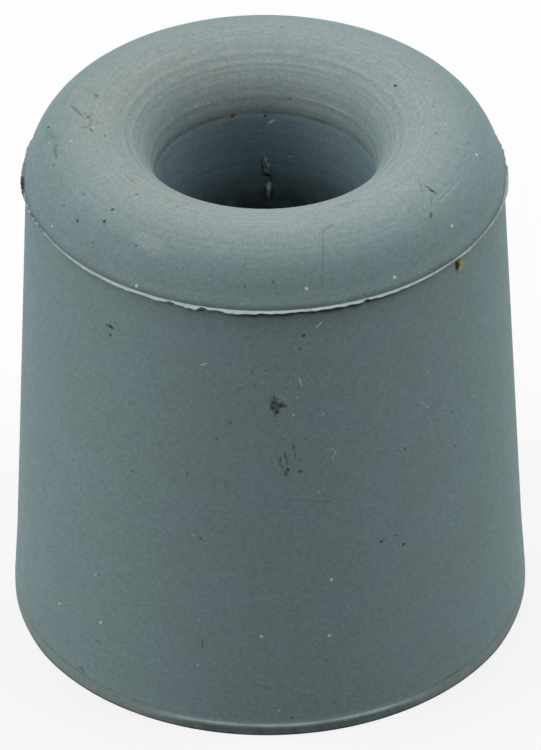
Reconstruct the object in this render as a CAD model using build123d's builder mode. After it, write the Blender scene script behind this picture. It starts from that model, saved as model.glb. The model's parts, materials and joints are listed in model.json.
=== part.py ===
"""Rubber door stop: one moulded piece, screwed to a floor or a wall.

The outside is a steep cone on a thin foot rim, closed above by a half-round crown.
The crown rolls over into a deep recess that keeps the screw head below the crest,
and the screw passes through the floor of that recess.

Millimetres, +Z up, origin at the middle of the face that the stop is screwed down on.
"""
import os
from math import sqrt

from build123d import *

# Outside of the stop
height = 40.0
base_diameter = 37.5  # over the foot rim
shoulder_diameter = 33.5  # top of the cone, where the crown starts

# Foot rim, left where the mould's bottom plate meets the cone
foot_rim_height = 0.95
foot_rim_step = 0.2

# Parting line between cone and crown, with the flash that squeezed out there
crown_depth = 4.1  # from the crest down to the parting line
flash_width = 0.45  # how far the flash stands out of the shoulder
flash_edge = 0.12  # thickness of the flash at its torn edge
flash_root_height = 0.25  # from the parting line up to where the flash leaves the crown

# Recess for the screw head, and the hole for the screw
recess_diameter = 15.5
recess_corner_radius = 1.0
floor_thickness = 10.0
screw_hole_diameter = 5.5

# Radii and heights that follow from the sizes above
base_radius = base_diameter / 2
shoulder_radius = shoulder_diameter / 2
recess_radius = recess_diameter / 2
screw_hole_radius = screw_hole_diameter / 2
parting_height = height - crown_depth
flash_radius = shoulder_radius + flash_width

# The crown is a half-round ring that is upright at the shoulder and at the recess wall
crown_radius = (shoulder_radius - recess_radius) / 2
crest_radius = (shoulder_radius + recess_radius) / 2
crown_centre_height = height - crown_radius

# The flash leaves the crown at a point on the crown's own arc
flash_root_z = parting_height + flash_root_height
flash_root_rise = flash_root_z - crown_centre_height
flash_root_radius = crest_radius + sqrt(crown_radius**2 - flash_root_rise**2)

crest = (crest_radius, height)
flash_root = (flash_root_radius, flash_root_z)
recess_top = (recess_radius, crown_centre_height)
recess_corner = (recess_radius, floor_thickness)

with BuildPart() as door_stop:
    with BuildSketch(Plane.XZ) as half_section:
        with BuildLine() as section_outline:
            outer_side = Polyline(
                (screw_hole_radius, 0),
                (base_radius, 0),
                (base_radius, foot_rim_height),
                (base_radius - foot_rim_step, foot_rim_height),
                (shoulder_radius, parting_height),
                (flash_radius, parting_height),
                (flash_radius, parting_height + flash_edge),
                flash_root,
            )
            crown = ThreePointArc(flash_root, crest, recess_top)
            inner_side = Polyline(
                recess_top,
                recess_corner,
                (screw_hole_radius, floor_thickness),
                (screw_hole_radius, 0),
            )
        make_face()
        corner_vertex = half_section.vertices().sort_by_distance(recess_corner)[0]
        fillet(corner_vertex, radius=recess_corner_radius)
    revolve(axis=Axis.Z)

door_stop.part.label = "door_stop"

os.makedirs("parts", exist_ok=True)
export_step(door_stop.part, "parts/door_stop.step")
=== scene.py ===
# %% [markdown]
# A rubber door stop is one moulding: a steep cone on a thin foot rim, a half-round crown, and
# a deep recess that hides a screw. The solid model holds the plain form. This lesson gives it
# the skin of the real one: the torn flash at the mould's parting line, rubbed and dusty rubber,
# a few dark marks, and soft light. We begin by loading the solid model as a fixed frame.

# %% Load the frame
import json
import math

import bpy
import numpy as np
from mathutils import Matrix, Vector
from mathutils.bvhtree import BVHTree


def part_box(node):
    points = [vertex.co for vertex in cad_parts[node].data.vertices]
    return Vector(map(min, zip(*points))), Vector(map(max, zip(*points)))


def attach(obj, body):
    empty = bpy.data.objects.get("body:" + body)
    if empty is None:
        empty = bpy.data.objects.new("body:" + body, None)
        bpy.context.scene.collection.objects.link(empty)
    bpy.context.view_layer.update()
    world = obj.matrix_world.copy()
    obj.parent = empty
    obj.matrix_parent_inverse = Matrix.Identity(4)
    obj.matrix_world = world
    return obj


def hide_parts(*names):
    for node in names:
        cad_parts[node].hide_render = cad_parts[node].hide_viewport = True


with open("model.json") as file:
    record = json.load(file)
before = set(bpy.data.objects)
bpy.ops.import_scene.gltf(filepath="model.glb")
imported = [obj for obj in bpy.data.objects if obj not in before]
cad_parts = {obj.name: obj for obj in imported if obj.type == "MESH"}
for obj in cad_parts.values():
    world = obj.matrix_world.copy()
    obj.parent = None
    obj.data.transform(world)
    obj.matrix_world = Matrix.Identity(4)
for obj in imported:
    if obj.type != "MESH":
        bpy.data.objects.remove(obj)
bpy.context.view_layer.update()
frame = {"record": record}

# %% [markdown]
# The sizes come from the frame where it has them: the height and the base from the node's box,
# the recess, the screw hole and the recess floor from the mounts in the record. The few others
# are the section's own dimensions. We work in millimetres, as a mould maker would, and turn to
# metres only when a mesh is written.

# %% Sizes
MM = 0.001
stop_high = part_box("door_stop")[1]
mounts = {mount["name"]: mount["dims"] for mount in frame["record"]["mounts"] if mount["dims"]}
height = stop_high.z / MM
base_radius = stop_high.x / MM
recess_radius = mounts["screw_head_recess"]["r_mm"]
hole_radius = mounts["screw_hole"]["r_mm"]
floor_height = mounts["screw_hole"]["length_mm"]
shoulder_radius = 16.75
crown_depth = 4.27
foot_rim_height = 0.87
crown_radius = (shoulder_radius - recess_radius) / 2
crest_radius = (shoulder_radius + recess_radius) / 2
print("height %.2f, base radius %.2f, crown radius %.3f mm" % (height, base_radius, crown_radius))

# %% [markdown]
# The camera comes early, because the places of marks are read from the photograph as pixels and
# have to be turned into places on the rubber. A long lens from about half a metre, looking down
# by 36 degrees, gives the same nearly parallel sides as the photograph. Its focal length is
# written in pixels, which is how it was measured, and Blender's lens follows from the 36 mm
# sensor along the picture's long side.

# %% Camera
picture_width, picture_height = 541, 750
sensor_width = 36.0
focal_pixels = 6726.0
camera_elevation = math.radians(35.92)
camera_roll = math.radians(-0.75)
camera_distance = 481.6
aim_height = 17.99
aim_right = 0.214

camera_turn = (Matrix.Rotation(math.pi / 2 - camera_elevation, 3, "X")
               @ Matrix.Rotation(camera_roll, 3, "Z"))
camera_right, camera_up, camera_back = (np.array(camera_turn.col[i]) for i in range(3))
camera_aim = np.array([0.0, 0.0, aim_height]) + aim_right * camera_right
camera_place = camera_aim + camera_distance * camera_back

camera_data = bpy.data.cameras.new("photo_camera")
camera_data.lens = focal_pixels * sensor_width / picture_height
camera_data.sensor_width = sensor_width
camera_data.clip_start = 0.01
camera = bpy.data.objects.new("photo_camera", camera_data)
camera.matrix_world = Matrix.Translation(Vector(camera_place * MM)) @ camera_turn.to_4x4()
bpy.context.scene.collection.objects.link(camera)
bpy.context.scene.camera = camera
print("camera at", np.round(camera_place, 1), "mm, lens %.1f mm" % camera_data.lens)

# %% [markdown]
# A pixel is a line of sight. Where that line meets a level plane it gives an angle around the
# stop, which is all that a ring such as the flash needs. Where it meets the recess wall it gives
# a place for what sticks to that wall.

# %% Lines of sight
pixel_middle = 0.5
front_pixel = (270, 310)


def sight_line(pixel):
    """Direction from the camera through a pixel's middle: the view axis plus the offset from the
    picture's middle, measured along the camera's right and up and divided by the focal length."""
    across = (pixel[0] + pixel_middle - picture_width / 2) / focal_pixels
    down = (pixel[1] + pixel_middle - picture_height / 2) / focal_pixels
    return across * camera_right - down * camera_up - camera_back


def angle_at_level(pixel, level):
    """Angle around Z, in radians, of the place where a pixel's line of sight meets z = level."""
    direction = sight_line(pixel)
    place = camera_place + direction * (level - camera_place[2]) / direction[2]
    return math.atan2(place[1], place[0])


def angle_and_height_on_wall(pixel, radius):
    """Angle around Z and height where a line of sight meets the far side of a round wall: the
    larger root of the quadratic that sets the distance from the axis equal to the radius."""
    direction = sight_line(pixel)
    square = direction[:2] @ direction[:2]
    half_linear = direction[:2] @ camera_place[:2]
    constant = camera_place[:2] @ camera_place[:2] - radius ** 2
    reach = (-half_linear + math.sqrt(half_linear ** 2 - square * constant)) / square
    place = camera_place + reach * direction
    return math.atan2(place[1], place[0]), place[2]


print("the flash in front lies at %.1f degrees"
      % math.degrees(angle_at_level(front_pixel, height - crown_depth)))

# %% [markdown]
# The half section is walked once round, from the screw hole out along the base, up the cone,
# over the crown, down the recess and back to the hole. It could be a spline through a few
# points, but a mould is turned on a lathe from straight cuts and round ones, so the section is
# made of lines and arcs. Sharp corners get a small round, because no rubber edge is a knife.
# The crown leans by half a degree on this stop, so its crest is set a little lower and its high
# side just reaches the solid model's height.

# %% Cuts of the section
def straight(start, end, count):
    """Points at equal steps along a straight cut, without its last point."""
    share = np.linspace(0.0, 1.0, count, endpoint=False)[:, None]
    return (1 - share) * np.array(start, float) + share * np.array(end, float)


def round_cut(centre, radii, start_degrees, end_degrees, count):
    """Points at equal angles along an arc, without its last point: centre + (a cos, b sin)."""
    turn = np.radians(np.linspace(start_degrees, end_degrees, count, endpoint=False))[:, None]
    return np.array(centre, float) + np.array(radii, float) * np.hstack([np.cos(turn), np.sin(turn)])


crown_lean = math.radians(0.55)
crest_height = height - crest_radius * math.tan(crown_lean)
crown_centre_height = crest_height - crown_radius
parting_height = crest_height - crown_depth
print("crest at %.2f mm, parting line at %.2f mm" % (crest_height, parting_height))

# %% [markdown]
# The foot rim is a thin collar: the cone runs out into it with a soft flare, which ends in a
# narrow ledge that catches the light. At the other end the crown's arc meets the recess wall in
# a shallow groove where dirt gathers. The flash is walked as three cuts, its underside, its edge
# and its upper face, and gets its torn outline later, once there is an angle to tear it along.
# Points lie close together where a crease has to show, just below and just above the flash.

# %% Half section
edge_round = 0.05
edge_radii = (edge_round, edge_round)
rim_foot_top = 0.18
ledge_outer, ledge_width = base_radius - edge_round, 0.02
flare_width, flare_height = 0.16, 0.45
flare_top = foot_rim_height + flare_height
cone_foot = (ledge_outer - ledge_width - flare_width, flare_top)
spread_height = 4.2
neck_height = 0.9
flash_foot = (shoulder_radius, parting_height)
flash_root_height = 0.10
flash_root_turn = math.degrees(math.asin((parting_height + flash_root_height - crown_centre_height)
                                         / crown_radius))
crown_foot_turn = 7
crown_starts = flash_root_turn + crown_foot_turn
lip_turn, lip_depth = 174, 0.9
recess_seen, recess_corner = 9.0, 1.0


def on_cone(level):
    """Radius and height of the cone's straight side at a height."""
    share = (parting_height - level) / (parting_height - flare_top)
    return shoulder_radius + share * (cone_foot[0] - shoulder_radius), level


def on_crown(turn):
    """Radius and height of the crown's circle at a turn in degrees, counted from its outer side."""
    turn = math.radians(turn)
    return (crest_radius + crown_radius * math.cos(turn),
            crown_centre_height + crown_radius * math.sin(turn))


cone_waist, cone_neck = on_cone(flare_top + spread_height), on_cone(parting_height - neck_height)
flash_root, lip_start = on_crown(flash_root_turn), on_crown(lip_turn)
crown_centre, crown_radii = (crest_radius, crown_centre_height), (crown_radius, crown_radius)
recess_top = (recess_radius, lip_start[1] - lip_depth)
recess_waist = (recess_radius, recess_top[1] - recess_seen)
recess_foot = (recess_radius, floor_height + recess_corner)
hole_side = hole_radius + edge_round

cuts = {
    "base": straight((hole_side, 0), (ledge_outer, 0), 4),
    "base_edge": round_cut((ledge_outer, edge_round), edge_radii, -90, 0, 3),
    "rim_foot": straight((base_radius, edge_round), (base_radius, rim_foot_top), 2),
    "rim": straight((base_radius, rim_foot_top), (base_radius, foot_rim_height - edge_round), 3),
    "rim_edge": round_cut((ledge_outer, foot_rim_height - edge_round), edge_radii, 0, 90, 4),
    "flare": round_cut((ledge_outer - ledge_width, flare_top), (flare_width, flare_height), 270, 180, 8),
    "cone_flare": straight(cone_foot, cone_waist, 4),
    "cone": straight(cone_waist, cone_neck, 18),
    "neck": straight(cone_neck, flash_foot, 12),
    "flash_under": straight(flash_foot, flash_foot, 3),
    "flash_edge": straight(flash_foot, flash_foot, 3),
    "flash_top": straight(flash_root, flash_root, 8),
    "crown_foot": round_cut(crown_centre, crown_radii, flash_root_turn, crown_starts, 6),
    "crown": round_cut(crown_centre, crown_radii, crown_starts, lip_turn, 24),
    "lip": straight(lip_start, recess_top, 9),
    "recess_mouth": straight(recess_top, recess_waist, 6),
    "recess": straight(recess_waist, recess_foot, 3),
    "recess_corner": round_cut((recess_radius - recess_corner, recess_foot[1]),
                               (recess_corner, recess_corner), 0, -90, 5),
    "recess_floor": straight((recess_radius - recess_corner, floor_height), (hole_side, floor_height), 3),
    "hole_edge": round_cut((hole_side, floor_height - edge_round), edge_radii, 90, 180, 2),
    "hole": straight((hole_radius, floor_height - edge_round), (hole_radius, edge_round), 2),
    "hole_foot": round_cut((hole_side, edge_round), edge_radii, 180, 270, 2),
}
section = np.vstack(list(cuts.values()))
cut_ends = np.cumsum([len(points) for points in cuts.values()])
rows = {name: slice(end - len(points), end) for (name, points), end in zip(cuts.items(), cut_ends)}
print("half section:", len(section), "points in", len(cuts), "cuts")

# %% [markdown]
# The skin is that section carried round the axis: a function of two parameters, the place along
# the section and the angle. Both directions close on themselves, because the screw hole goes
# right through, so the grid needs no poles and no caps. A moulding is never quite round, so the
# cone swells and shrinks by a few hundredths of a millimetre in slow waves, but not at its foot.

# %% Carry the section round
segments = 736
swell, swell_in = 0.015, 0.25
groove_drop, groove_depth, groove_half_width = 0.5, 0.03, 0.12
angles = np.linspace(0.0, 2 * math.pi, segments, endpoint=False)
radius_grid = np.repeat(section[:, :1], segments, axis=1)
height_grid = np.repeat(section[:, 1:], segments, axis=1)


def waves(seed, lowest, highest, count):
    """Sum of sine waves round the axis with whole wave numbers, random phases and equal heights,
    scaled so that its spread is one."""
    draw = np.random.default_rng(seed)
    numbers = draw.integers(lowest, highest, count)[:, None]
    phases = draw.uniform(0, 2 * math.pi, count)[:, None]
    return np.sin(numbers * angles + phases).sum(axis=0) * math.sqrt(2 / count)


sides = slice(rows["cone"].start, rows["neck"].stop)
up_the_cone = (height_grid[sides] - cone_waist[1]) / (parting_height - cone_waist[1])
radius_grid[sides] += swell * (waves(3, 2, 9, 5) - 1) * np.minimum(up_the_cone / swell_in, 1)
lip_drop = lip_start[1] - groove_drop - height_grid[rows["lip"]]
radius_grid[rows["lip"]] += groove_depth * np.exp(-(lip_drop / groove_half_width) ** 2)
print("grid of", radius_grid.shape, "points")

# %% [markdown]
# Flash is the thin fin of rubber that squeezes out where the two halves of the mould meet. It is
# trimmed by hand, so its width wanders, it is bitten away in places and hangs down in others.
# It is cut close at the sides, broken on the left and wider in front. Each tear is written as the
# two pixels between which it lies, what it adds to the fin's width and how far it droops. A
# fringe is wider over a longer stretch, and its last number says how softly it ends, in radians.

# %% Tears of the flash
fringes = {
    "seen side": ((26, 205), (478, 241), 0.04, 0.15),
    "front": ((80, 264), (415, 283), 0.15, 0.45),
}
front_tears = {
    "left lump": ((152, 297), (160, 300), 0.03, 0.03),
    "left bite": ((167, 302), (174, 304), -0.15, 0.00),
    "tooth": ((185, 305), (197, 309), 0.06, 0.06),
    "gap beside the tooth": ((198, 309), (206, 310), -0.20, 0.00),
    "ragged stretch": ((208, 310), (222, 311), -0.06, 0.00),
    "hanging strip": ((224, 312), (258, 314), 0.02, 0.05),
    "right bite": ((366, 302), (371, 300), -0.24, 0.00),
    "curled bit": ((372, 300), (378, 298), 0.03, -0.08),
}
dirty_tears = {
    "left blob": ((21, 178), (22, 190), 0.06, 0.02),
    "second blob": ((21, 193), (22, 195), 0.05, 0.02),
}
left_end, right_end = (22, 190), (507, 188)
broken_start, broken_end = (25, 202), (47, 234)


def smooth(share):
    """0 below 0, 1 above 1, and the cubic 3 s^2 - 2 s^3 between."""
    share = np.clip(share, 0.0, 1.0)
    return share * share * (3 - 2 * share)


def ease(value, start, end):
    """0 on the far side of start, 1 beyond end and smooth between; start may be the larger."""
    return smooth((value - start) / (end - start))


def stretch(first, length, soft):
    """1 round the axis from the angle first over an angle length, 0 elsewhere, with soft ends."""
    beyond = (angles - first + math.pi - length / 2) % (2 * math.pi) - math.pi + length / 2
    return smooth(0.5 + beyond / soft) * smooth(0.5 + (length - beyond) / soft)


def turn_between(first_pixel, last_pixel, level=parting_height):
    """Angle of the first pixel at a level, and the turn from there to the last one."""
    first = angle_at_level(first_pixel, level)
    return first, (angle_at_level(last_pixel, level) - first) % (2 * math.pi)


print("the photograph shows %.0f degrees of the flash"
      % math.degrees(turn_between(left_end, right_end)[1]))

# %% [markdown]
# From those the fin gets two numbers for every angle: its width, which is the trimmed width with
# the fringes and a slow and a fine waver, and its droop. Round the back, where the photograph
# does not reach, seeded tears of the same kind carry on.

# %% Width and droop of the flash
trimmed_reach, least_reach, most_reach = 0.06, 0.03, 0.50
side_reach, back_reach, back_margin, back_soft = 0.15, 0.12, 0.8, 0.5
slow_waver, fine_waver, droop_waver = 0.08, 0.06, 0.02
broken_soft, broken_loss, broken_share = 0.1, 0.5, 0.6
tear_soft, hidden_soft, hidden_tears = 0.011, 0.012, 30

tears = [turn_between(first, last) + (tear_soft, wider, lower)
         for first, last, wider, lower in {**front_tears, **dirty_tears}.values()]
hidden_first, hidden_turn = turn_between(right_end, left_end)
draw = np.random.default_rng(12)
tears += list(zip(hidden_first + hidden_turn * draw.uniform(0.05, 0.95, hidden_tears),
                  draw.uniform(0.02, 0.10, hidden_tears),
                  np.full(hidden_tears, hidden_soft),
                  draw.uniform(-0.05, 0.06, hidden_tears),
                  draw.uniform(-0.02, 0.08, hidden_tears)))
reach = np.full(segments, trimmed_reach)
for first, last, wider, soft in fringes.values():
    reach += wider * stretch(*turn_between(first, last), soft)
sideways, to_front = np.abs(np.cos(angles)), -np.sin(angles)
reach += side_reach * ease(sideways, 0.9, 1.0)
reach += back_reach * stretch(hidden_first + back_margin, hidden_turn - 2 * back_margin, back_soft)
reach *= 1 + slow_waver * waves(5, 6, 60, 9) + fine_waver * waves(6, 60, 190, 12)
gaps = stretch(*turn_between(broken_start, broken_end), broken_soft)
gaps *= smooth(broken_share + waves(11, 60, 190, 9))
reach *= 1 - broken_loss * gaps
droop = droop_waver * waves(7, 3, 40, 8)
for first, length, soft, wider, lower in tears:
    reach += wider * stretch(first, length, soft)
    droop += lower * stretch(first, length, soft)
reach = np.clip(reach, least_reach, most_reach)
print("flash stands out by %.2f to %.2f mm" % (reach.min(), reach.max()))

# %% [markdown]
# In front the crown overhangs the cone: its foot swells into a low skirt, and the flash stands out
# from that, while its flank above is a little flatter than a true arc. With the fin's width and
# droop known for every angle the flash is set out: a share of 0 is its root and 1 its edge. The
# underside leaves the cone level and bends down by the droop times the share squared. The upper
# face does the same from the skirt, and the edge joins the two.

# %% Set out the flash
flash_thickness, edge_bulge = 0.07, 0.02
front_skirt, side_skirt, skirt_full, skirt_rise = 0.25, 0.15, 0.2, 0.85
flattened, flat_middle = 0.05, 1.6


def shares(name):
    """Shares of the way along a cut, from 0 up to the last point before 1, as a column."""
    return np.linspace(0.0, 1.0, len(cuts[name]), endpoint=False)[:, None]


under_share, edge_share, top_share = shares("flash_under"), shares("flash_edge"), 1 - shares("flash_top")
skirt = side_skirt + (front_skirt - side_skirt) * ease(to_front, 0.1, 0.3)
skirt *= ease(to_front, -0.12, 0.18)
overhang = skirt + reach

radius_grid[rows["flash_under"]] = shoulder_radius + overhang * under_share
height_grid[rows["flash_under"]] = parting_height - droop * under_share ** 2
radius_grid[rows["flash_edge"]] = shoulder_radius + overhang + edge_bulge * np.sin(math.pi * edge_share)
height_grid[rows["flash_edge"]] = parting_height - droop + flash_thickness * edge_share
radius_grid[rows["flash_top"]] = (flash_root[0] + skirt
                                  + (shoulder_radius + reach - flash_root[0]) * top_share)
height_grid[rows["flash_top"]] = (flash_root[1] - droop * top_share ** 2
                                  + (flash_thickness - flash_root_height) * top_share)
crown_rows = slice(rows["crown_foot"].start, rows["crown"].stop)
rise = height_grid[crown_rows] - flash_root[1]
outer = radius_grid[crown_rows] > crest_radius
radius_grid[crown_rows] += outer * (skirt * ease(rise, skirt_rise, skirt_full)
                                    - flattened * ease(np.abs(rise - flat_middle), flat_middle, 0))
print("flash and skirt overhang the cone by %.2f to %.2f mm" % (overhang.min(), overhang.max()))

# %% [markdown]
# The foot rim is crisp only in front and at the back. At both sides wear has rounded it into a
# plain flare, and the base is a little narrower there, while the cone above runs out more gently.
# The crisp and the worn section have the same number of points, so a mask round the axis blends
# one into the other.

# %% Wear of the foot
crisp_start, crisp_end, crisp_soft = (165, 716), (420, 702), 0.35
worn_power = 0.8
narrowed, runs_out = 0.12, 0.07
crisp_first, crisp_turn = turn_between(crisp_start, crisp_end, foot_rim_height)
crisp = sum(stretch(crisp_first + turn, crisp_turn, crisp_soft) for turn in (0, math.pi))
foot = slice(rows["rim_foot"].start, rows["flare"].stop)
foot_share = np.linspace(0.0, 1.0, foot.stop - foot.start, endpoint=False)[:, None]
worn_radius = cone_foot[0] + (base_radius - cone_foot[0]) * (1 - foot_share) ** worn_power
worn_height = edge_round + (flare_top - edge_round) * foot_share
radius_grid[foot] = crisp * radius_grid[foot] + (1 - crisp) * worn_radius
height_grid[foot] = crisp * height_grid[foot] + (1 - crisp) * worn_height

worn_side = ease(sideways, 0.85, 0.975)
collar = slice(rows["base_edge"].start, rows["flare"].stop)
up_the_foot = height_grid[collar] / flare_top
radius_grid[collar] += worn_side * (runs_out * up_the_foot - narrowed * (1 - up_the_foot))
above_foot = (height_grid[rows["cone_flare"]] - flare_top) / spread_height
radius_grid[rows["cone_flare"]] += worn_side * runs_out * smooth(1 - above_foot)
print("foot rim crisp over %.0f degrees in front" % math.degrees(crisp_turn))

# %% [markdown]
# The crown is not quite level. The lean is added last, growing up the cone, so that the base
# stays flat on the floor, and the points can be written out in three dimensions.

# %% Lean the crown
def leaned(x, z):
    """Height after the lean: falls by x tan(lean) at the parting line, and less below it."""
    share = np.clip(z / parting_height, 0.0, 1.0)
    return z - x * math.tan(crown_lean) * share


x_grid = radius_grid * np.cos(angles)
y_grid = radius_grid * np.sin(angles)
z_grid = leaned(x_grid, height_grid)
skin_points = np.stack([x_grid, y_grid, z_grid], axis=-1).reshape(-1, 3)
print("skin reaches z = %.3f mm" % z_grid.max())

# %% [markdown]
# The grid's faces join each point to the next one round and the next one along. Before the mesh
# is written we build a search tree over them, so that a pixel can be asked which place on the
# rubber it shows. Stains, specks and stuck grit are all put in place that way.

# %% Faces and the search tree
cone_pixel = (270, 430)


def ring_faces(numbers):
    """Corners of the four-sided faces of a grid of point numbers that closes in both directions."""
    next_round = np.roll(numbers, -1, axis=1)
    corners = [numbers, next_round, np.roll(next_round, -1, axis=0), np.roll(numbers, -1, axis=0)]
    return np.stack(corners, axis=-1)


skin_faces = ring_faces(np.arange(radius_grid.size).reshape(radius_grid.shape)).reshape(-1, 4)
skin_tree = BVHTree.FromPolygons(skin_points.tolist(), skin_faces.tolist())


def on_rubber(pixel):
    """Place in millimetres and outward normal where a pixel's line of sight meets the rubber."""
    place, normal, *_ = skin_tree.ray_cast(Vector(camera_place), Vector(sight_line(pixel)))
    return np.array(place), np.array(normal)


print("the middle of the front is at", np.round(on_rubber(cone_pixel)[0], 2), "mm")

# %% [markdown]
# Two leaf-shaped flakes of flash cling to the back wall of the recess, one below the other. Each
# is a small closed shell: rings carried along a short line, closed at both ends. A flake is half
# sunk in the wall, so that it sits on what carries it from every side.

# %% Flakes on the recess wall
flake_rings, flake_around, flake_end = 20, 14, 0.02


def shell_faces(numbers):
    """Faces of rings of point numbers: four-sided between the rings, and one cap at each end."""
    return [ring_faces(numbers)[:-1].reshape(-1, 4), numbers[:1, ::-1], numbers[-1:]]


def wall_flake(tip_pixel, foot_pixel, width, thickness, curl):
    """A leaf on the recess wall. Along its length the half width goes as sin^0.7 of the share and
    leans to the foot, each ring is an ellipse of that half width and of the thickness, and the
    middle stands off the wall by the curl times the share squared."""
    tip_angle, tip_height = angle_and_height_on_wall(tip_pixel, recess_radius)
    foot_angle, foot_height = angle_and_height_on_wall(foot_pixel, recess_radius)
    share = np.linspace(flake_end, 1 - flake_end, flake_rings)[:, None]
    round_turn = np.linspace(0, 2 * math.pi, flake_around, endpoint=False)
    body = np.sin(math.pi * share) ** 0.7 * (0.35 + 0.65 * share)
    off_wall = thickness * body * np.sin(round_turn) + curl * share ** 2 * body
    angle = (tip_angle + (foot_angle - tip_angle) * share
             - width / 2 * body * np.cos(round_turn) / recess_radius)
    radius = recess_radius - off_wall
    level = tip_height + (foot_height - tip_height) * share + 0 * round_turn
    return np.stack([radius * np.cos(angle), radius * np.sin(angle), level], axis=-1)


upper_flake = wall_flake((264, 152), (267, 173), width=0.74, thickness=0.20, curl=0.45)
lower_flake = wall_flake((269, 181), (268, 199), width=0.50, thickness=0.18, curl=0.40)
print("flakes of", upper_flake.shape[0] * upper_flake.shape[1], "points each")

# %% [markdown]
# A grain of grit is stuck under the flash on the right. It is a shell of the same kind, a lumpy
# egg with its middle on the rubber, turned so that it stands square on the surface.

# %% Stuck grit
grain_rings, grain_around, grain_end = 14, 18, 0.06


def grit_grain(pixel, half_sizes):
    """A lumpy egg with its middle on the rubber: a sphere's point (sin u cos v, sin u sin v,
    cos u) times half sizes across, up and out, swollen by a product of low sines."""
    place, normal = on_rubber(pixel)
    up = camera_up - (camera_up @ normal) * normal
    up /= np.linalg.norm(up)
    across = np.cross(up, normal)
    fall = np.linspace(grain_end, math.pi - grain_end, grain_rings)[:, None]
    turn = np.linspace(0, 2 * math.pi, grain_around, endpoint=False)
    lump = 1 + 0.10 * np.sin(3 * turn + 1) * np.sin(2 * fall) + 0.06 * np.sin(5 * turn) * np.sin(fall)
    sphere = np.stack([np.sin(fall) * np.cos(turn), np.sin(fall) * np.sin(turn),
                       np.cos(fall) + 0 * turn], axis=-1)
    local = sphere * lump[:, :, None] * np.array(half_sizes)
    return place + local @ np.array([across, up, normal])


orange_grain = grit_grain((458.5, 264.5), half_sizes=(0.39, 0.48, 0.24))
print("grit at", np.round(orange_grain.mean(axis=(0, 1)), 2), "mm")

# %% [markdown]
# Some of the finish follows the shape and not a pattern: torn flash is pale, creases and hollows
# are painted dark as shade, with some real grime, and what faces up holds a film of dust, which
# also paints light on it. Those masks are worked out here from the same arrays as the shape and
# stored on the mesh as point attributes, where the material reads them. First come the length
# along the section, the share of turning marks, the exposure to light and hands, and the film of
# dust and painted light, which is thinner where the crown turns down into the mouth, most of all
# at the sides, so that those flanks are painted darker.

# %% Turning marks, exposure and dust film with painted light
mask_names = ("along", "turned", "exposed", "dust_and_light_film", "torn", "grime_and_shade", "stain")
masks = {name: np.zeros_like(radius_grid) for name in mask_names}
dust_and_light_film, torn, grime_and_shade, stain = (masks[name] for name in ("dust_and_light_film", "torn", "grime_and_shade", "stain"))
film_starts, film_full, film_thins = 44, 104, 110
film_loss, film_side_loss, film_depth = 0.12, 0.63, 1.3 * lip_depth
cone_rings, outer_rings = 0.2, 0.4


def recess_drop(name):
    """How far the points of a cut lie below the start of the lip."""
    return lip_start[1] - height_grid[rows[name]]


step_along = np.linalg.norm(np.roll(section, -1, axis=0) - section, axis=1)
masks["along"] += np.concatenate([[0.0], np.cumsum(step_along)[:-1]])[:, None]
crown_turn = np.linspace(crown_starts, lip_turn, len(cuts["crown"]), endpoint=False)[:, None]
masks["turned"][rows["cone_flare"].start:rows["cone"].stop] = cone_rings
masks["turned"][rows["crown_foot"]] = outer_rings
masks["turned"][rows["crown"]] = outer_rings + (1 - outer_rings) * ease(crown_turn, 75, 110)
masks["turned"][rows["lip"].start:rows["recess"].stop] = 1.0
masks["exposed"][:rows["crown"].stop] = 1.0
masks["exposed"][rows["lip"]] = ease(recess_drop("lip"), lip_depth, 0)
# The film thins at the sides, which paints those flanks of the crown darker, as shade.
thinned = film_loss + film_side_loss * ease(sideways, 0.4, 0.8)
dust_and_light_film[rows["crown"]] = ease(crown_turn, film_starts, film_full)
dust_and_light_film[rows["crown"]] *= 1 - thinned * ease(crown_turn, film_thins, lip_turn)
dust_and_light_film[rows["lip"]] = (1 - thinned) * ease(recess_drop("lip"), film_depth, 0)
print("masks:", ", ".join(masks))

# %% [markdown]
# Where the flash was cut it is pale, most of all in front, and dull at the sides, in its gaps and
# where dirt clings to it, and its gaps are darker. Under it, at its root, in the crease above it and
# on the crown's foot the rubber is painted dark as shade. Below it a band is painted as the flash's
# shadow on the cone, with some real grime. The recess is painted darker with depth, as its shade.

# %% Torn flash, and painted shade under it and in the recess
pale_start, pale_end, pale_soft = (80, 264), (462, 254), 0.5
pale_all, pale_front, pale_waver, dulled, dirty_soft = 0.45, 0.50, 0.08, 0.85, 0.02
neck_shadow_start, neck_shadow_end, neck_shadow_soft = (222, 312), (395, 292), 0.8
neck_shadow_all, neck_shadow_front, neck_shadow_fade, neck_shadow_below = 0.20, 1.25, 0.15, 0.12
under_flash_shade, flash_root_shade, gap_darkening = 0.8, 0.6, 0.5
crease_strength, crease_fade, flank_strength, flank_fade = 0.40, 0.14, 0.13, 0.9
deep_recess_shade, deep_starts, deep_full = 0.85, 4.4, 8.4

dirty = sum(stretch(*turn_between(first, last), dirty_soft) for first, last, *_ in dirty_tears.values())
dull_sides = ease(sideways, 0.88, 0.96) * ease(to_front, 0.08, 0)
paleness = pale_all + pale_front * stretch(*turn_between(pale_start, pale_end), pale_soft)
paleness = np.clip(paleness + pale_waver * waves(9, 8, 80, 9), 0.0, 1.0)
paleness *= (1 - dirty) * (1 - dulled * dull_sides) * (1 - dulled * gaps)
torn[rows["flash_edge"]] = paleness
torn[rows["flash_top"]] = paleness * ease(top_share, 0, 0.35)

# Painted shadow of the flash on the cone, with some real grime: it starts where the flash hides the cone
# from the camera and fades downwards.
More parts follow.
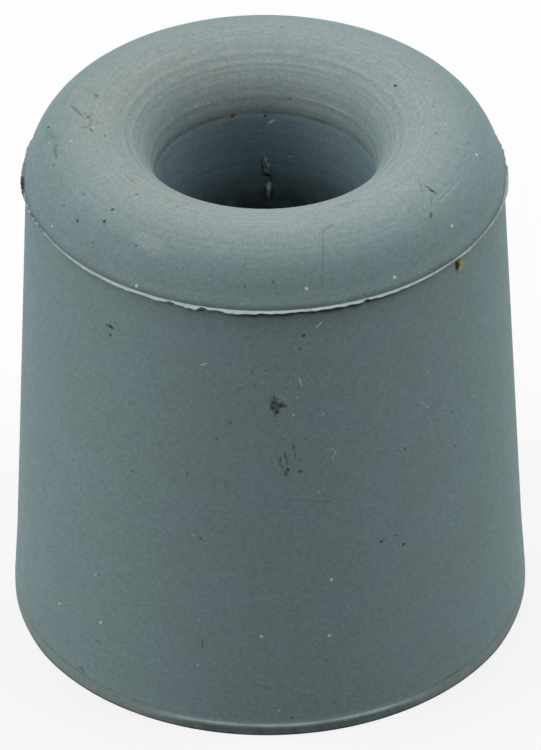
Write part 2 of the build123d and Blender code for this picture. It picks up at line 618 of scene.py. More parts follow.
neck_drop = parting_height - height_grid[rows["neck"]]
hidden_drop = overhang * math.tan(camera_elevation) + droop + neck_shadow_below
neck_grime_and_shadow = neck_shadow_all + neck_shadow_front * stretch(*turn_between(neck_shadow_start, neck_shadow_end), neck_shadow_soft)
grime_and_shade[rows["neck"]] = neck_grime_and_shadow * np.exp(-np.maximum(neck_drop - hidden_drop, 0.0) / neck_shadow_fade)
# Under the flash and at its root the rubber is painted dark as shade; the gaps of the broken flash are
# darker too.
grime_and_shade[rows["flash_under"]] = under_flash_shade
grime_and_shade[rows["flash_edge"]] = dirty + gap_darkening * gaps
grime_and_shade[rows["flash_top"]] = np.maximum(flash_root_shade * ease(top_share, 0.30, 0), dirty + gap_darkening * gaps)
# In the crease above the flash and on the crown's foot the rubber is painted dark as shade.
grime_and_shade[crown_rows] = outer * (crease_strength * np.exp(-rise / crease_fade)
                             + flank_strength * np.exp(-(rise / flank_fade) ** 2))
# The recess is painted darker with depth, as its shade.
for name in ("recess_mouth", "recess", "recess_corner", "recess_floor", "hole_edge"):
    grime_and_shade[rows[name]] = deep_recess_shade * ease(recess_drop(name), deep_starts, deep_full)
print("flash pale up to %.2f, caked grime up to %.2f" % (paleness.max(), neck_grime_and_shadow.max()))

# %% [markdown]
# A smear of black dirt sits on the outline at the left, where a place cannot be read by one line
# of sight, since the rubber turns away there. So it is laid on the other way round: every point
# of the crown is asked at which pixel it is seen, and how far that is from the smear's two ends.

# %% Smear on the outline
smear_strokes = {"long": ((21.8, 179), (22.2, 188), 1.0), "short": ((21.5, 191.5), (21.8, 193.5), 0.8)}
smear_grime = 1.3


def seen_at(points):
    """Pixels at which points are seen: their offsets from the camera along its right and up, times
    the focal length, over their depth in front of it."""
    offset = points - camera_place
    scale = focal_pixels / -(offset @ camera_back)
    return np.stack([picture_width / 2 + offset @ camera_right * scale,
                     picture_height / 2 - offset @ camera_up * scale], axis=-1) - pixel_middle


def near_stroke(pixels, start, end, half_width):
    """1 within a half width of the line between two pixels, falling to 0 at twice that."""
    start, run = np.array(start), np.array(end) - np.array(start)
    share = np.clip((pixels - start) @ run / (run @ run), 0.0, 1.0)
    apart = np.linalg.norm(pixels - start - share[..., None] * run, axis=-1)
    return smooth(2 - apart / half_width)


outline_rows = slice(rows["flash_under"].start, rows["crown"].stop)
outline_pixels = seen_at(skin_points.reshape(radius_grid.shape + (3,))[outline_rows])
smear = np.maximum(*(near_stroke(outline_pixels, *stroke) for stroke in smear_strokes.values()))
grime_and_shade[outline_rows] = np.maximum(grime_and_shade[outline_rows], smear_grime * smear)
torn[outline_rows] *= 1 - smear
print("smear covers", int((smear > 0.5).sum()), "points")

# %% [markdown]
# The mouth of the recess has a broken dirty line of its own, in its groove, which is clearer on
# the left. The left of the crown has a brownish tinge, and the front of it, where doors have met
# it, is rubbed a little paler.

# %% Stains of the crown
mouth_all, mouth_waver, mouth_left, mouth_most = 0.32, 0.22, 0.12, 0.8
mouth_half_width, mouth_grime = 0.16, 0.7
lip_stain, left_stain, front_rub = 0.1, 0.14, 0.08
to_right = np.cos(angles)

mouth_dirt = mouth_all + mouth_waver * waves(10, 1, 14, 7) - mouth_left * to_right
mouth_dirt = np.clip(mouth_dirt, 0.0, mouth_most)
in_groove = mouth_dirt * np.exp(-(lip_drop / mouth_half_width) ** 2)
grime_and_shade[rows["lip"]] = mouth_grime * in_groove
stain[rows["lip"]] = np.maximum(in_groove, lip_stain * ease(lip_drop, 0.2, -0.2))
on_left = ease(-to_right, 0.1, 0.6) * ease(crown_turn, 30, 70)
stain[rows["crown"]] = np.maximum(lip_stain * ease(crown_turn, 150, 170), left_stain * on_left)
rub_place = ease(crown_turn, 35, 60) * ease(crown_turn, 105, 85)
torn[rows["crown"]] = front_rub * rub_place * ease(to_front, 0.2, 0.7)
print("mouth dirt up to %.2f" % mouth_dirt.max())

# %% [markdown]
# The foot rim's ledge is rubbed pale where it is crisp, and holds the film of dust and painted
# light there. Below it the face, the foot and the base's edge are painted dark as shade. Where it is
# worn it is a little brown from the floor, with a faint crease and a dark line at its very foot,
# both painted shade. The flat base below stays clean.

# %% Rubbed ledge and painted shade of the foot rim
rub_all, rub_waver, rub_most, ledge_pale = 0.8, 0.35, 1.4, 0.38
crease_height, crease_half, crease_shade_share = 1.05, 0.12, 0.22
line_half, foot_line_shade = 0.17, 0.85
rim_foot_shade, rim_face_shade, base_edge_shade, worn_stain = 0.95, 0.55, 0.9, 0.65

rubbed = crisp * np.clip(rub_all + rub_waver * waves(8, 4, 60, 9), 0.0, rub_most)
on_ledge = ease(shares("flare"), 0.45, 0)
torn[rows["rim_edge"]] = ledge_pale * rubbed
torn[rows["flare"]] = ledge_pale * rubbed * on_ledge
dust_and_light_film[rows["rim_edge"]] = crisp
dust_and_light_film[rows["flare"]] = crisp * on_ledge
# On the worn sides a faint crease and the very foot are painted dark as shade.
foot_crease = crease_shade_share * np.exp(-((height_grid[foot] - crease_height) / crease_half) ** 2)
foot_line = foot_line_shade * np.exp(-(height_grid[foot] / line_half) ** 2)
grime_and_shade[foot] = (1 - crisp) * np.maximum(foot_crease, foot_line)
# Where the rim is crisp its foot, its face and the base's edge are painted dark as shade.
grime_and_shade[rows["rim_foot"]] += rim_foot_shade * crisp
grime_and_shade[rows["rim"]] += rim_face_shade * crisp
grime_and_shade[rows["base_edge"].start + 1:rows["base_edge"].stop] = base_edge_shade
stain[foot] = worn_stain * (1 - crisp) * (1 - foot_share)
print("rim rubbed up to %.2f" % rubbed.max())

# %% [markdown]
# Now the mesh can be written: the grid, the two flakes and the grain in one piece of rubber, shaded
# smooth. The piece rides on the model's one body and stands for the plain solid, which is hidden.

# %% Write the mesh
point_sets, face_sets = [skin_points], [skin_faces]
for shell in (upper_flake, lower_flake, orange_grain):
    first = sum(map(len, point_sets))
    point_sets.append(shell.reshape(-1, 3))
    face_sets += shell_faces(first + np.arange(len(point_sets[-1])).reshape(shell.shape[:2]))
stop_points = np.vstack(point_sets)
stop_faces = [corners for faces in face_sets for corners in faces.tolist()]
stop_mesh = bpy.data.meshes.new("rubber_skin")
stop_mesh.from_pydata((stop_points * MM).tolist(), [], stop_faces, shade_flat=False)
stop_mesh.validate()
stop = bpy.data.objects.new("rubber_skin", stop_mesh)
bpy.context.scene.collection.objects.link(stop)
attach(stop, "root")
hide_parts("door_stop")
stop_mesh.calc_loop_triangles()
print("skin of", len(stop_mesh.loop_triangles), "triangles")

# %% [markdown]
# The masks go on the mesh as one number for each point. The shells have none of the masks of the
# skin, and two masks of their own tell flakes and grit apart.

# %% Store the masks
counts = [len(points) for points in point_sets]
point_values = {name: np.append(mask, np.zeros(sum(counts[1:]))) for name, mask in masks.items()}
point_values["flake"] = np.repeat((0.0, 1.0, 1.0, 0.0), counts)
point_values["grit"] = np.repeat((0.0, 0.0, 0.0, 1.0), counts)
for name, values in point_values.items():
    attribute = stop_mesh.attributes.new(name, "FLOAT", "POINT")
    attribute.data.foreach_set("value", values.astype(np.float32))
print("stored", len(point_values), "masks on", len(stop_points), "points")

# %% [markdown]
# These are the marks that the photograph shows, as pixels in its own frame. Each mark is one or
# more strokes: the pixels of its two ends, its width in millimetres and its strength. A scuff with
# a ragged outline is several overlapping strokes. The dark marks come first: scuffs, pits and
# lines that are nearly black, and painted shadows beside the two flakes and the recess fibre.

# %% Dark marks and painted shadows read from the photograph
dark_marks = {
    "front scuff": [((274, 396), (274, 400), 0.22, 0.65), ((273, 401), (275.5, 410.5), 0.62, 0.58),
        ((277, 404.5), (282, 405), 0.44, 0.75), ((283, 404.5), (285.5, 405.2), 0.20, 0.70),
        ((271, 404.5), (271.5, 408), 0.20, 0.70), ((276.5, 410), (276, 413), 0.24, 0.85),
        ((274.8, 414), (274.2, 417), 0.12, 0.50)],
    "lower scuff": [((280, 457), (279.5, 463), 0.22, 0.50), ((280, 464), (283, 468), 0.18, 0.40),
        ((284, 453), (286, 459), 0.24, 0.50), ((286, 460), (287, 465), 0.20, 0.45),
        ((287.3, 468.3), (287.8, 470.3), 0.26, 0.70), ((285.3, 471.5), (286, 475), 0.20, 0.60)],
    "upright rub": [((293.3, 444.5), (293.5, 448.5), 0.26, 0.50),
        ((294.5, 450.5), (295.5, 458), 0.14, 0.35), ((298, 458.5), (299.8, 460.5), 0.14, 0.35)],
    "upper flake's shade": [((261.5, 158), (262, 171), 0.16, 0.50),
        ((262.5, 173.5), (271, 175.5), 0.28, 0.80)],
    "holes by the flash's tears": [((197.5, 309.6), (203, 310), 0.13, 0.90),
        ((168, 303.2), (172, 304.2), 0.10, 0.70)],
    "blobs at the foot": [((80.5, 667), (83, 670), 0.36, 0.32), ((95.5, 640), (100, 643), 0.26, 0.34)],
    "rust dot's heart": [((231.2, 116), (231.6, 116.4), 0.20, 0.80)],
    "lower flake's shade": [((270, 176), (271.4, 183), 0.14, 0.50), ((264, 186), (265, 198), 0.24, 0.50),
        ((272, 187), (272, 198), 0.18, 0.55)],
    "recess fibre's shade": [((269, 123.6), (273, 121.8), 0.10, 0.60)],
    "dot at the crease": [((264.8, 115.3), (264.8, 115.3), 0.24, 0.90)],
    "grain's dark side": [((455.6, 260.5), (455.8, 267), 0.28, 0.90)],
    "gap in the left flash": [((29.3, 211.5), (32.3, 216.5), 0.13, 0.50)],
    "pit": [((109, 325.5), (112, 327.2), 0.28, 1.00), ((105.5, 324.5), (108, 325), 0.20, 0.50)],
    "crown scratch": [((71, 105), (82, 116), 0.26, 0.40)],
    "dashes by the brown patch": [((95, 95), (97, 96.5), 0.22, 0.45), ((89.5, 128), (92, 131), 0.18, 0.50)],
    "grey smudge": [((54, 143), (56, 158), 0.42, 0.28), ((48, 131), (56, 139), 0.60, 0.20)],
    "foot crease on the right": [((444, 678), (462, 668), 0.16, 0.35)],
    "right rub": [((424.5, 185), (435.5, 193), 0.20, 0.55), ((430, 189.5), (433, 191), 0.26, 0.80),
        ((418, 179), (422.4, 192.8), 0.10, 0.30), ((431, 197), (431, 206), 0.12, 0.30),
        ((430.5, 213), (430.5, 217), 0.24, 0.60)],
    "hooked line": [((332, 225), (325, 228), 0.22, 0.22), ((324, 229), (322, 234), 0.24, 0.25),
        ((322.5, 236), (321.5, 284), 0.26, 0.15)],
    "upright tick": [((202, 640), (202, 648), 0.12, 0.55)],
    "arc on the lower cone": [((290, 499), (334, 501), 0.12, 0.25)],
    "slanting line": [((241, 679), (288, 693), 0.09, 0.22), ((288, 693), (317, 695), 0.09, 0.22)],
    "weak smudge": [((383, 538), (387, 540), 0.40, 0.14)],
    "dot of a pair": [((98, 575), (98, 575), 0.16, 0.60)],
}
print(sum(map(len, dark_marks.values())), "strokes in", len(dark_marks), "dark marks")

# %% [markdown]
# Small round pits and grains are scattered between them. Those of one width and strength are
# written together, by their pixels alone.

# %% Dark dots
def dots(width, strength, *pixels):
    """Round marks of one width and strength: strokes that start and end at the same pixel."""
    return [(pixel, pixel, width, strength) for pixel in pixels]


dark_marks["black dots"] = dots(0.30, 0.92, (103.6, 221), (47.7, 126.8), (395, 85), (273.6, 402.5),
    (279.8, 405.6), (276.3, 411.5), (271.8, 407.5))
dark_marks["dark dots"] = dots(0.27, 0.75, (77, 220), (112, 209), (109.8, 334.3), (303, 335), (87.4, 117),
    (299.6, 470.8), (381, 541), (403, 544))
dark_marks["grey dots"] = dots(0.22, 0.50, (136.5, 194), (53, 165), (63.5, 205), (92.5, 242), (135.6, 245),
    (83, 193.6), (56.8, 145), (128.8, 114), (104.2, 135.5), (432, 106), (436, 133), (244.5, 286),
    (272.7, 281.6), (177, 206), (290, 153.6), (41.3, 231), (291, 717), (334, 702), (326, 660), (230, 422),
    (216, 438), (277.3, 399), (282, 402.4), (284.3, 406.6), (270.3, 405.2), (275, 415.2), (132, 471),
    (187, 473), (405, 448), (200, 538), (395, 535))
dark_marks["fine dots"] = dots(0.18, 0.40, (251.3, 371.6), (264.6, 370.3), (233.4, 442), (304.4, 438.6),
    (224, 482.3), (340.5, 205.5), (346.5, 206.5), (342, 203.3), (352, 200.5), (359, 200))
dark_marks["faint dots"] = dots(0.22, 0.32, (228.6, 364), (254.3, 385.5), (239.5, 388.5))
print(sum(map(len, dark_marks.values())), "dark strokes with the dots")

# %% [markdown]
# Brown stains and rust lie mostly on the left of the crown and by the mouth. Pale marks are
# fibres, scratches and grains of dust, some painted as bright as their glints, and painted
# highlights on the two flakes and the grain of grit.

# %% Brown and pale marks, with painted highlights
brown_marks = {
    "front scuff's halo": [((274, 399), (277, 411), 0.80, 0.18)],
    "lower scuff's foot": [((283.5, 470), (285.5, 474), 0.34, 0.35)],
    "brown dot by the scuff": [((285.6, 387.7), (285.6, 387.7), 0.28, 0.45)],
    "brown arc": [((81, 127.5), (88, 125.5), 0.32, 0.60), ((89, 125), (92, 119), 0.32, 0.45)],
    "patch by the scratch": [((84, 113), (92, 115), 0.60, 0.28)],
    "patch above": [((87, 89), (92, 93), 0.75, 0.20), ((93, 92), (97, 96), 0.42, 0.40)],
    "patch by the smudge": [((46, 134), (48, 141), 0.40, 0.25)],
    "patches by the mouth": [((129, 178), (133, 182), 0.45, 0.35), ((339, 205.5), (358, 200), 0.55, 0.20),
        ((296, 215), (303, 215), 0.30, 0.25)],
    "rust dot": [((231.5, 115.3), (234, 114.5), 0.34, 0.95)],
    "spot by the lower flake": [((259.3, 183.5), (259.8, 186), 0.32, 0.60)],
    "lower flake's end": [((268, 192), (268, 197), 0.40, 0.60)],
    "hair scratch": [((29, 372), (61, 417), 0.07, 0.50)],
}
pale_marks = {
    "fibre in the recess": [((268.3, 122.3), (273, 119.9), 0.22, 1.00),
        ((265.5, 126), (279, 118.5), 0.08, 0.35)],
    "upper flake's lights": [((268.5, 163), (268.5, 164), 0.24, 0.50),
        ((264.6, 155), (266, 162), 0.18, 0.30)],
    "lower flake's painted highlight": [((268.8, 183.5), (268.3, 187), 0.38, 0.95)],
    "grain's painted highlight": [((458.3, 266.5), (458.3, 267.5), 0.22, 0.60)],
    "fibre below the flash": [((316.5, 326.5), (321.5, 321), 0.13, 0.75)],
    "fibre on the left": [((200, 365), (206, 362.5), 0.13, 0.70)],
    "fibre on the right": [((298, 376), (301.7, 386), 0.10, 0.70)],
    "bent fibre": [((331.6, 448), (335.2, 451.5), 0.10, 0.40), ((335.2, 451.5), (331.6, 458), 0.10, 0.50)],
    "scratches on the right": [((433, 200.7), (451, 184.4), 0.09, 0.20),
        ((436, 205.3), (463, 176.7), 0.09, 0.18)],
    "arc on the flare": [((296, 96.5), (322, 102), 0.10, 0.35), ((322, 102), (352, 117), 0.10, 0.35)],
    "faint scratches": [((419, 400), (428, 407), 0.12, 0.25)],
    "streak above the ledge": [((176, 707), (188, 710), 0.10, 0.30)],
    "rubbed patch on the crown": [((140, 238), (160, 250), 1.30, 0.12)],
    "nick on the mouth's edge": [((366.5, 183.5), (371.5, 180.3), 0.14, 0.70)],
    # Dust dots, painted as bright as their glints.
    "dust dots painted as bright as glints": dots(0.27, 0.95, (135.9, 285.3), (306, 288), (394, 276.7), (451.4, 225), (476, 154),
        (59, 603), (100, 622), (331, 579), (261, 636), (329, 635)),
    "dull dots": dots(0.20, 0.50, (445, 123), (197, 665), (213, 663), (278, 710), (95, 574), (48, 143),
        (208, 102), (195, 106), (172, 119), (51.5, 225.5), (71, 140), (93, 127), (290, 156), (323, 413.6),
        (318, 491), (296.8, 397), (293, 414.6)),
}
print(sum(map(len, brown_marks.values())), "brown and", sum(map(len, pale_marks.values())), "pale strokes")

# %% [markdown]
# A mark could be painted on an image, but a patch worked out in the material stays sharp at any
# size. Each stroke has its own small coordinates, along and across it, which are 1 at its edge.
# They are linear in the place, so a mesh that stores them at its points hands them on exactly to
# every place between. Strokes that are too close for that go on different layers, so that between
# two strokes of one layer there is always a ring of points that neither has claimed. Such a point
# gets a large negative strength, so that nothing shows there.

# %% Lay the marks out on layers
claim_margin, claim_gap, claim_depth = 1.9, 1.8, 0.8
unclaimed = (9.0, 9.0, -50.0)


def mark_layers(points, strokes):
    """Layers of (along, across, strength) for every point. A stroke lies between two end pixels on
    the rubber, and claims the points within half its length plus a margin of its middle."""
    layers = []
    for start_pixel, end_pixel, width, strength in strokes:
        start, normal = on_rubber(start_pixel)
        end = on_rubber(end_pixel)[0]
        length = np.linalg.norm(end - start)
        run = end - start if length > width / 4 else camera_right
        run = run - (run @ normal) * normal
        run = run / np.linalg.norm(run)
        offset = points - (start + end) / 2
        beyond = np.linalg.norm(offset, axis=1) - length / 2
        claimed = (beyond < claim_margin) & (np.abs(offset @ normal) < claim_depth)
        around = beyond < claim_margin + claim_gap
        layer = next((layer for layer in layers if (layer[around, 2] < 0).all()), None)
        if layer is None:
            layer = np.tile(unclaimed, (len(points), 1))
            layers.append(layer)
        layer[claimed, 0] = offset[claimed] @ run / (length / 2 + width / 2)
        layer[claimed, 1] = offset[claimed] @ np.cross(normal, run) / (width / 2)
        layer[claimed, 2] = strength
    return layers


layer_names = {}
for kind, marks in (("dark", dark_marks), ("brown", brown_marks), ("pale", pale_marks)):
    layers = mark_layers(stop_points, [stroke for strokes in marks.values() for stroke in strokes])
    layer_names[kind] = ["%s_%d" % (kind, number) for number in range(len(layers))]
    for name, layer in zip(layer_names[kind], layers):
        attribute = stop_mesh.attributes.new(name, "FLOAT_VECTOR", "POINT")
        attribute.data.foreach_set("vector", layer.astype(np.float32).ravel())
print("layers of marks:", {kind: len(names) for kind, names in layer_names.items()})

# %% [markdown]
# Materials are graphs of nodes, and a long graph is easiest to read when one small function adds
# a node and links or sets its inputs. The others cover what is used most: a sum or product of two
# values, a mix of two colours, a value carried from one range to another, and a stored mask.

# %% Node helpers
def add_node(tree, kind, inputs, **settings):
    """Add a shader node, set its settings, and link or set each named or numbered input."""
    node = tree.nodes.new("ShaderNode" + kind)
    for name, value in settings.items():
        setattr(node, name, value)
    for name, value in inputs.items():
        if isinstance(value, bpy.types.NodeSocket):
            tree.links.new(value, node.inputs[name])
        else:
            node.inputs[name].default_value = value
    return node


def combine(tree, operation, first, second):
    """Value of a Math node."""
    return add_node(tree, "Math", {0: first, 1: second}, operation=operation).outputs[0]


def times(tree, first, second):
    """Product of two values."""
    return combine(tree, "MULTIPLY", first, second)


def mix_colours(tree, share, first, second):
    """Colour of a Mix node: first where the share is 0, second where it is 1. Its colour sockets
    have numbers, because the node has sockets of the same names for other kinds of value."""
    return add_node(tree, "Mix", {0: share, 6: first, 7: second}, data_type="RGBA").outputs[2]


def ramp(tree, value, low, high):
    """Value smoothly carried from 0 at low to 1 at high, where low may be the larger."""
    return add_node(tree, "MapRange", {"Value": value, "From Min": low, "From Max": high},
                    interpolation_type="SMOOTHSTEP").outputs["Result"]


def spread(tree, value, low, high, first, last):
    """Value carried in a straight line from first at low to last at high, and held beyond them."""
    return add_node(tree, "MapRange", {"Value": value, "From Min": low, "From Max": high,
                                       "To Min": first, "To Max": last}).outputs["Result"]


def attribute_value(tree, name):
    """One of the masks stored on the mesh."""
    return add_node(tree, "Attribute", {}, attribute_name=name).outputs["Fac"]


print("node helpers ready")

# %% [markdown]
# Dust lies on rubber as scattered dots. A Voronoi texture fills space with cells, each with one
# seed point, and the distance to the nearest seed is small only in a tiny ball round it. Where
# such a ball cuts the surface there is a dot. The pale dust and the dark grit are the same effect
# with other values, so it is a node group with named sockets.

# %% Speckle group
least_dot = 0.35
dot_outside, dot_inside = 1.1, 0.7


def new_group(name, inputs, outputs):
    """A shader node group with the given sockets, and its input and output nodes."""
    tree = bpy.data.node_groups.new(name, "ShaderNodeTree")
    for in_out, sockets in (("INPUT", inputs), ("OUTPUT", outputs)):
        for socket_name, kind in sockets:
            tree.interface.new_socket(socket_name, in_out=in_out, socket_type="NodeSocket" + kind)
    return tree, tree.nodes.new("NodeGroupInput").outputs, tree.nodes.new("NodeGroupOutput").inputs


speckle, given, gives = new_group(
    "speckle", [("Point", "Vector"), ("Density", "Float"), ("Size", "Float")], [("Mask", "Float")])
cells = add_node(speckle, "TexVoronoi", {"Vector": given["Point"], "Scale": given["Density"]})
seed_distance = combine(speckle, "DIVIDE", cells.outputs["Distance"], given["Density"])
cell_draw = add_node(speckle, "SeparateColor", {"Color": cells.outputs["Color"]}).outputs[0]
dot_size = times(speckle, given["Size"], combine(speckle, "ADD", cell_draw, least_dot))
dot_share = combine(speckle, "DIVIDE", seed_distance, dot_size)
speckle.links.new(ramp(speckle, dot_share, dot_outside, dot_inside), gives["Mask"])
print("speckle group of", len(speckle.nodes), "nodes")

# %% [markdown]
# A layer of marks becomes a mask in three steps: push the local coordinates about with noise, so
# that outlines are ragged, take their distance from the mark's middle, and fade from one inside
# to nothing outside. Layers are strung together, and the stronger of two patches counts.

# %% Mark layer group
mark_outside, mark_inside = 1.25, 0.55
mark_layer, given, gives = new_group(
    "mark_layer", [("Layer", "Vector"), ("Push", "Vector"), ("Others", "Float")], [("Mask", "Float")])
pushed = add_node(mark_layer, "VectorMath", {0: given["Layer"], 1: given["Push"]}).outputs[0]
flat = add_node(mark_layer, "VectorMath", {0: pushed, 1: (1, 1, 0)}, operation="MULTIPLY").outputs[0]
off_middle = add_node(mark_layer, "VectorMath", {0: flat}, operation="LENGTH").outputs["Value"]
layer_strength = add_node(mark_layer, "SeparateXYZ", {0: given["Layer"]}).outputs["Z"]
strong = combine(mark_layer, "MAXIMUM", layer_strength, 0.0)
patch = times(mark_layer, ramp(mark_layer, off_middle, mark_outside, mark_inside), strong)
mark_layer.links.new(combine(mark_layer, "MAXIMUM", patch, given["Others"]), gives["Mask"])


def mark_mask(tree, kind, push):
    """Mask of all layers of one kind of mark."""
    mask = 0.0
    for name in layer_names[kind]:
        layer = add_node(tree, "Attribute", {}, attribute_name=name).outputs["Vector"]
        mask = add_node(tree, "Group", {"Layer": layer, "Push": push, "Others": mask},
                        node_tree=mark_layer).outputs["Mask"]
    return mask


print("mark layer group of", len(mark_layer.nodes), "nodes")

# %% [markdown]
# The rubber has two close tones: sheltered in the recess it has kept a cooler blue grey, and
# outside light and hands have turned it a little warmer, unevenly. All patterns read Object
# coordinates, here scaled to millimetres. Finer noise gives the push that makes the outlines of
# marks ragged.

# %% Rubber tones
sheltered_rubber = (0.216, 0.306, 0.340, 1)
exposed_rubber = (0.205, 0.289, 0.291, 1)
least_exposed = 0.6
push_reach = 1.2

rubber = bpy.data.materials.new("rubber")
rubber.use_nodes = True
tree = rubber.node_tree
shader = tree.nodes["Principled BSDF"]
object_point = add_node(tree, "TexCoord", {}).outputs["Object"]
point = add_node(tree, "VectorMath", {0: object_point, "Scale": 1 / MM}, operation="SCALE").outputs[0]


def noise(per_mm, detail):
    """Noise with about per_mm lumps to the millimetre and the given levels of finer detail."""
    return add_node(tree, "TexNoise", {"Vector": point, "Scale": per_mm, "Detail": detail})


slow = noise(0.22, 2).outputs["Fac"]
patchy = noise(0.9, 3).outputs["Fac"]
mottle = noise(2.6, 2).outputs["Fac"]
ragged = noise(4.5, 2).outputs["Color"]
grain = noise(7.0, 2).outputs["Fac"]
uneven = spread(tree, slow, 0.35, 0.65, least_exposed, 1)
exposed = times(tree, attribute_value(tree, "exposed"), uneven)
tone = mix_colours(tree, exposed, sheltered_rubber, exposed_rubber)
centred = add_node(tree, "VectorMath", {0: ragged, 1: (0.5, 0.5, 0.5)}, operation="SUBTRACT").outputs[0]
push = add_node(tree, "VectorMath", {0: centred, "Scale": push_reach}, operation="SCALE").outputs[0]
print("rubber tones of", len(tree.nodes), "nodes")

# %% [markdown]
# On top of the tones come the finishes that follow the shape: a thin film of dust on what faces
# up, which also paints light there, torn rubber that has gone pale, brown stains, and a near-black
# tone that is painted shade in creases, hollows and under the flash, and real grime in the mouth's
# groove and on the outline. Each is a colour laid on by its stored mask. Noise breaks up the film and
# the dark tone, so that they have no clean edge. The flakes are mottled between a painted shaded and
# a painted lit tone of their rubber, and the grit in two colours of its own.

# %% Dust film with painted light, torn edges, and grime with painted shade
# Dust film tone, which also paints light on what faces up.
dust_and_light_film_tone = (0.300, 0.357, 0.350, 1)
torn_rubber = (0.50, 0.578, 0.569, 1)
dirt_brown = (0.245, 0.265, 0.225, 1)
# Near black: painted shade in creases, hollows and under the flash, and real grime elsewhere.
grime_and_shade_tone = (0.030, 0.032, 0.028, 1)
# Flake tones: a painted shaded and a painted lit copy of the flakes' rubber.
flake_shaded_and_lit_tones = (0.12, 0.145, 0.16, 1), (0.38, 0.41, 0.45, 1)
grit_tones = (0.30, 0.28, 0.11, 1), (0.47, 0.36, 0.22, 1)
least_film, least_grime_and_shade = 0.7, 0.5

mottled = ramp(tree, mottle, 0.38, 0.62)
broken_up = {"dust_and_light_film": spread(tree, patchy, 0.3, 0.7, least_film, 1.0),
             "grime_and_shade": spread(tree, patchy, 0.2, 0.6, least_grime_and_shade, 1.0)}
finishes = {"dust_and_light_film": dust_and_light_film_tone, "torn": torn_rubber, "stain": dirt_brown, "grime_and_shade": grime_and_shade_tone,
            "flake": mix_colours(tree, mottled, *flake_shaded_and_lit_tones),
            "grit": mix_colours(tree, mottled, *grit_tones)}
for name, colour in finishes.items():
    share = attribute_value(tree, name)
    if name in broken_up:
        share = times(tree, share, broken_up[name])
    tone = mix_colours(tree, share, tone, colour)
print("shape finishes bring it to", len(tree.nodes), "nodes")

# %% [markdown]
# Then the dust and grit, scattered all over by the speckle group, and the three strings of marks.

# %% Specks and marks
# Pale dust, also the colour of the painted highlights on the flakes and the grit.
pale_dust_and_highlight, dust_share = (0.60, 0.65, 0.65, 1), 0.28
dark_grit, grit_share = (0.05, 0.06, 0.06, 1), 0.55
brown_stain = (0.235, 0.175, 0.105, 1)
# Near black for scuffs and pits, and painted shadow beside the flakes and the fibre.
scuff_and_shadow_black = (0.02, 0.026, 0.026, 1)


def specks(density, size):
    """The speckle group placed in this material: seeds to the millimetre and dot size in mm."""
    return add_node(tree, "Group", {"Point": point, "Density": density, "Size": size},
                    node_tree=speckle).outputs["Mask"]


tone = mix_colours(tree, times(tree, specks(0.62, 0.09), dust_share), tone, pale_dust_and_highlight)
tone = mix_colours(tree, times(tree, specks(0.37, 0.11), grit_share), tone, dark_grit)
for kind, colour in (("brown", brown_stain), ("dark", scuff_and_shadow_black), ("pale", pale_dust_and_highlight)):
    tone = mix_colours(tree, mark_mask(tree, kind, push), tone, colour)
print("rubber material of", len(tree.nodes), "nodes")

# %% [markdown]
# The surface itself is matt with a faint grain. On the crown and in the recess the mould's lathe
# left fine rings, so a one-dimensional noise runs along the section and gives grooves that go
# round the axis, deeper in some places than in others. Grain and grooves make the tone a little
# darker and lighter along their relief, and feed one Bump node, in millimetres. A faint mottle,
# coarser than the grain, only shades it.

# %% Grain and turning marks
ring_contrast, grain_contrast, mottle_contrast = 0.13, 0.18, 0.035
ring_relief, grain_relief = 0.015, 0.010
rings_per_mm, ring_detail = 2.6, 3.0
smoothest, roughest, gloss = 0.58, 0.72, 0.15

rings = add_node(tree, "TexNoise", {"W": attribute_value(tree, "along"), "Scale": rings_per_mm,
                                    "Detail": ring_detail}, noise_dimensions="1D").outputs["Fac"]
ring_share = times(tree, attribute_value(tree, "turned"), ramp(tree, patchy, 0.25, 0.60))
ring_shade = times(tree, spread(tree, rings, 0.25, 0.75, -ring_contrast, ring_contrast), ring_share)
grain_shade = spread(tree, grain, 0.2, 0.8, 1 - grain_contrast, 1 + grain_contrast)
mottle_shade = spread(tree, mottled, 0.0, 1.0, -mottle_contrast, mottle_contrast)
shade = combine(tree, "ADD", combine(tree, "ADD", grain_shade, mottle_shade), ring_shade)
tone = add_node(tree, "HueSaturation", {"Color": tone, "Value": shade}).outputs["Color"]
tree.links.new(tone, shader.inputs["Base Color"])

ring_height = times(tree, rings, times(tree, ring_share, ring_relief))
relief = combine(tree, "ADD", ring_height, times(tree, grain, grain_relief))
bump = add_node(tree, "Bump", {"Height": relief, "Distance": MM})
tree.links.new(bump.outputs["Normal"], shader.inputs["Normal"])
tree.links.new(spread(tree, patchy, 0.3, 0.7, smoothest, roughest), shader.inputs["Roughness"])
shader.inputs["Specular IOR Level"].default_value = gloss
stop_mesh.materials.append(rubber)
print("finished rubber of", len(tree.nodes), "nodes")

# %% [markdown]
# The stop stands on a plain pale floor, wide enough to fill the view from any side, which lies a
# hair below the base, because two faces in one plane would flicker through each other. Seen by the
# camera the floor is nearly white and most of its brightness is its own, so that the shadow on
# it stays pale. The light that it throws back up is held lower, so that the front of the cone
# is as dark as in the photograph: Light Path tells the two apart. Under the stop the floor has no
# brightness of its own, so that the screw hole stays dark when one looks down into it.

# %% Floor
floor_half, floor_drop = 2.0, 0.02 * MM
seen_floor = (0.92, 0.92, 0.92, 1)
bounce_floor = (0.35, 0.35, 0.35, 1)
seen_glow, floor_roughness = 0.78, 0.9
covered = base_radius * MM

floor_corners = floor_half * np.array([(-1, -1, 0), (1, -1, 0), (1, 1, 0), (-1, 1, 0)], float)
floor_corners[:, 2] = -floor_drop
floor_mesh = bpy.data.meshes.new("floor")
floor_mesh.from_pydata(floor_corners.tolist(), [], [(0, 1, 2, 3)])
floor = bpy.data.objects.new("floor", floor_mesh)
bpy.context.scene.collection.objects.link(floor)


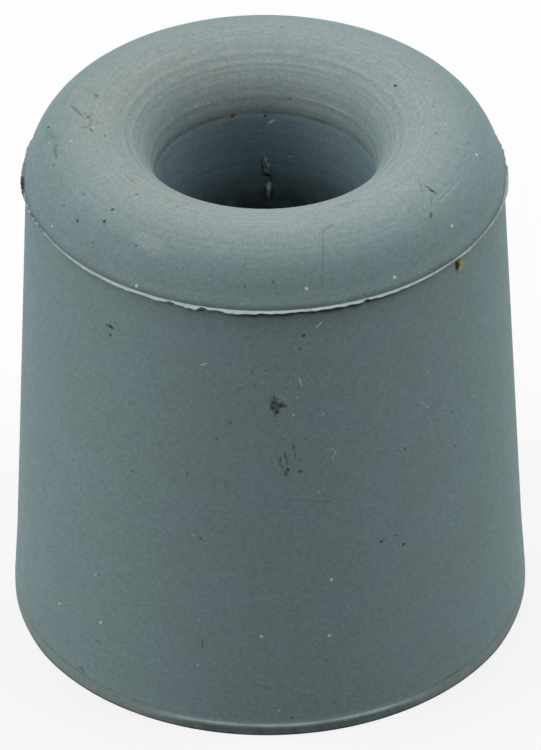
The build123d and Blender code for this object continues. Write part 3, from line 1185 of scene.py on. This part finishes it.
def seen_share(tree):
    """1 for rays that show a surface: from the camera, off gloss or through glass."""
    path = tree.nodes.new("ShaderNodeLightPath").outputs
    mirrored = combine(tree, "MAXIMUM", path["Is Glossy Ray"], path["Is Transmission Ray"])
    return combine(tree, "MAXIMUM", path["Is Camera Ray"], mirrored)


floor_paint = bpy.data.materials.new("floor_paint")
floor_paint.use_nodes = True
floor_tree = floor_paint.node_tree
floor_shader = floor_tree.nodes["Principled BSDF"]
floor_colour = mix_colours(floor_tree, seen_share(floor_tree), bounce_floor, seen_floor)
floor_tree.links.new(floor_colour, floor_shader.inputs["Base Color"])
floor_shader.inputs["Roughness"].default_value = floor_roughness
floor_shader.inputs["Specular IOR Level"].default_value = 0.0
white_glow = add_node(floor_tree, "Emission", {"Color": (1, 1, 1, 1), "Strength": 1.0}).outputs[0]
floor_point = add_node(floor_tree, "TexCoord", {}).outputs["Object"]
from_axis = add_node(floor_tree, "VectorMath", {0: floor_point}, operation="LENGTH").outputs["Value"]
own_glow = spread(floor_tree, from_axis, 0.8 * covered, 0.9 * covered, 0.0, seen_glow)
glow_share = times(floor_tree, seen_share(floor_tree), own_glow)
floor_mix = add_node(floor_tree, "MixShader", {0: glow_share, 1: floor_shader.outputs[0], 2: white_glow})
floor_tree.links.new(floor_mix.outputs[0], floor_tree.nodes["Material Output"].inputs["Surface"])
floor_mesh.materials.append(floor_paint)
print("floor of", 2 * floor_half, "m")

# %% [markdown]
# The light is that of a small product studio: soft boxes high on both sides and behind, weaker
# ones overhead and low at the sides, and a fill from the front left. Their powers were found by
# lighting the stop with one box at a time and weighing the pictures, since light adds up. The
# world is white where it is seen and adds no light of its own.

# %% Lights
light_aim = Vector((0, 0, 0.02))
soft_boxes = {
    "high_left": ((-0.55, 0.0, 0.60), (0.5, 0.7), 2.65),
    "high_right": ((0.55, 0.0, 0.60), (0.5, 0.7), 2.53),
    "high_back": ((0.0, 0.55, 0.60), (0.7, 0.5), 2.30),
    "overhead": ((0.0, 0.30, 0.85), (0.5, 0.3), 0.54),
    "top_front": ((0.0, -0.30, 0.85), (0.5, 0.3), 0.70),
    "low_left": ((-0.80, 0.0, 0.20), (0.6, 0.35), 0.88),
    "low_right": ((0.80, 0.0, 0.20), (0.6, 0.35), 1.46),
    "front_fill": ((-0.60, -0.60, 0.30), (0.5, 0.4), 1.58),
}
for name, (place, size, power) in soft_boxes.items():
    lamp_data = bpy.data.lights.new(name, "AREA")
    lamp_data.shape = "RECTANGLE"
    lamp_data.size, lamp_data.size_y = size
    lamp_data.energy = power
    lamp = bpy.data.objects.new(name, lamp_data)
    lamp.location = place
    lamp.rotation_mode = "QUATERNION"
    lamp.rotation_quaternion = (light_aim - Vector(place)).to_track_quat("-Z", "Y")
    bpy.context.scene.collection.objects.link(lamp)

world = bpy.data.worlds.new("studio")
bpy.context.scene.world = world
world.use_nodes = True
background = world.node_tree.nodes["Background"].inputs
background["Color"].default_value = (1, 1, 1, 1)
world.node_tree.links.new(seen_share(world.node_tree), background["Strength"])
print(len(soft_boxes), "soft boxes")

# %% [markdown]
# Last, plain colour handling.

# %% Finish
bpy.context.scene.view_settings.view_transform = "Standard"
